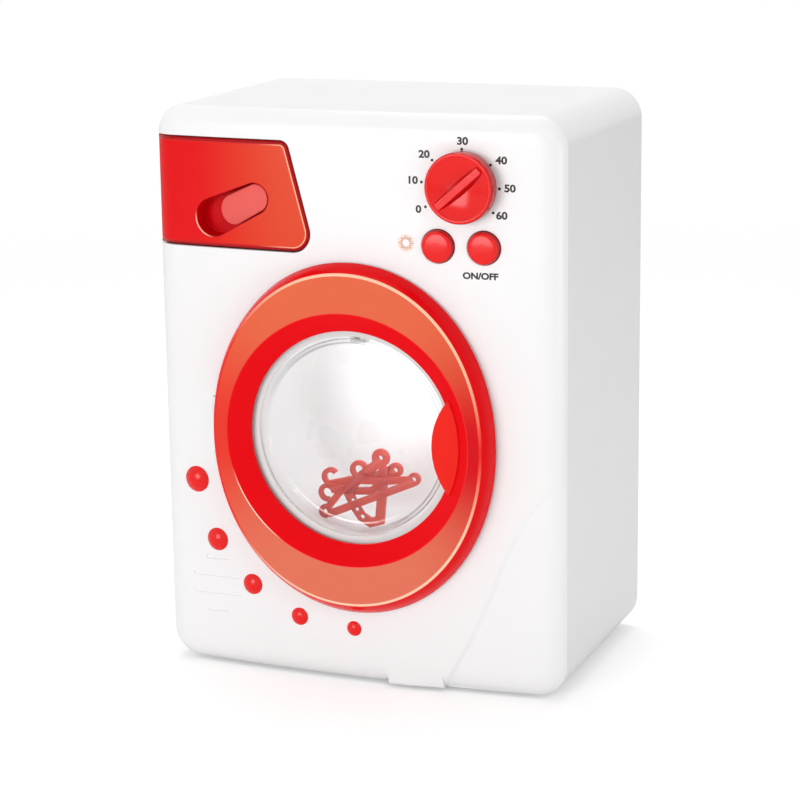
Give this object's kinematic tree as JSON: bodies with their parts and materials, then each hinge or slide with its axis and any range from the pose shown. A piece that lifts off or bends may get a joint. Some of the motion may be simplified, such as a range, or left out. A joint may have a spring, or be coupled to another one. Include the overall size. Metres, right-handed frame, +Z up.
{
  "type": "toy washing machine",
  "caption": "Toy front loading washing machine with a swinging oval door, spinning drum, pull-out drawer, timer dial and two push buttons.",
  "frame": {"origin": "middle of the outer box at floor level", "axes": "+X to the right seen from the front, +Y to the back, +Z up; the door is on the -Y side"},
  "size_m": [0.1868, 0.129, 0.252],
  "materials": {
    "case_white": "smooth moulded plastic",
    "foot_rubber": "matt",
    "door_red": "glossy moulded plastic",
    "pull_red": "smooth moulded plastic",
    "window_clear": "clear moulded plastic",
    "inner_white": "smooth moulded plastic",
    "drum_white": "smooth moulded plastic",
    "drawer_red": "glossy moulded plastic",
    "knob_red": "glossy moulded plastic",
    "hanger_red": "glossy translucent plastic",
    "steel": "zinc plated",
    "spring_steel": "drawn wire",
    "brass": "turned",
    "board_green": "solder resist",
    "switch_black": "moulded",
    "lamp_clear": "clear epoxy",
    "speaker_dark": "paper cone and steel magnet",
    "gear_ivory": "moulded acetal",
    "frame_grey": "moulded",
    "cell_label": "printed sleeve",
    "wire_red": "insulation",
    "wire_blue": "insulation",
    "wire_yellow": "insulation"
  },
  "bodies": {
    "case": {"front_shell": "case_white", "rear_shell": "case_white", "feet": "foot_rubber", "hinge_bracket": "inner_white", "latch_keeper": "inner_white", "mouth_ring": "drum_white", "drawer_guide": "inner_white", "dial_click_spring": "gear_ivory", "light_button_spring": "spring_steel", "power_button_spring": "spring_steel", "control_board": "board_green", "tact_switches": "switch_black", "drum_lamp": "lamp_clear", "speaker": "speaker_dark", "speaker_clamp": "frame_grey", "drum_bush": "brass", "idler_pin": "steel", "motor": "steel", "chassis": "frame_grey", "gear_plate": "frame_grey", "battery_box": "frame_grey", "battery_cells": "cell_label", "battery_contacts": "spring_steel", "bubble_1": "knob_red", "bubble_2": "knob_red", "bubble_3": "knob_red", "bubble_4": "knob_red", "bubble_5": "knob_red", "case_screws": "steel", "small_screws": "steel", "drive_screws": "steel", "battery_lead": "wire_red", "motor_lead": "wire_blue", "speaker_lead": "wire_yellow", "lamp_lead": "wire_blue", "hanger_1": "hanger_red", "hanger_2": "hanger_red", "hanger_3": "hanger_red"},
    "door": {"door_ring": "door_red", "door_window": "window_clear", "door_back": "inner_white", "door_pull": "pull_red", "hinge_pin": "steel", "door_screws": "steel"},
    "drawer": {"drawer_front": "drawer_red", "drawer_tray": "inner_white", "tray_screws": "steel"},
    "dial": {"dial_knob": "knob_red", "dial_ratchet": "gear_ivory", "dial_screw": "steel"},
    "light_button": {"light_button": "knob_red"},
    "power_button": {"power_button": "knob_red"},
    "drum": {"drum": "drum_white", "drum_shaft": "steel", "drum_gear": "gear_ivory"},
    "idler": {"idler_gear": "gear_ivory"},
    "pinion": {"motor_pinion": "gear_ivory", "motor_shaft": "steel"},
    "battery_hatch": {"battery_door": "case_white", "battery_door_screw": "steel"}
  },
  "joints": [
    {"name": "door_swing", "type": "hinge", "parent": "case", "child": "door", "pos_m": [-0.0614, -0.06026, 0.1121], "axis": [0, 0, -1], "range_deg": [0, 110]},
    {"name": "drawer_slide", "type": "slide", "parent": "case", "child": "drawer", "axis": [0, -1, 0], "range_m": [0, 0.045]},
    {"name": "dial_turn", "type": "hinge", "parent": "case", "child": "dial", "pos_m": [0.0509, -0.0589, 0.2227], "axis": [0, 1, 0], "range_deg": [0, 254]},
    {"name": "light_button_press", "type": "slide", "parent": "case", "child": "light_button", "axis": [0, 1, 0], "range_m": [0, 0.002], "stiffness_N_per_m": 400, "deforming": ["light_button_spring"]},
    {"name": "power_button_press", "type": "slide", "parent": "case", "child": "power_button", "axis": [0, 1, 0], "range_m": [0, 0.002], "stiffness_N_per_m": 400, "deforming": ["power_button_spring"]},
    {"name": "drum_spin", "type": "hinge", "parent": "case", "child": "drum", "pos_m": [0, 0.0121, 0.1121], "axis": [0, 1, 0], "continuous": true},
    {"name": "idler_spin", "type": "hinge", "parent": "case", "child": "idler", "pos_m": [0.02192, 0.0201, 0.13109], "axis": [0, 1, 0], "continuous": true},
    {"name": "pinion_spin", "type": "hinge", "parent": "case", "child": "pinion", "pos_m": [0.04635, 0.0251, 0.1222], "axis": [0, 1, 0], "continuous": true},
    {"name": "battery_door_open", "type": "hinge", "parent": "case", "child": "battery_hatch", "pos_m": [0, 0.0627, 0.0237], "axis": [-1, 0, 0], "range_deg": [0, 90]}
  ],
  "couplings": [
    {"joint": "idler_spin", "follows": "drum_spin", "ratio": -3.1429},
    {"joint": "pinion_spin", "follows": "drum_spin", "ratio": 10.476}
  ]
}
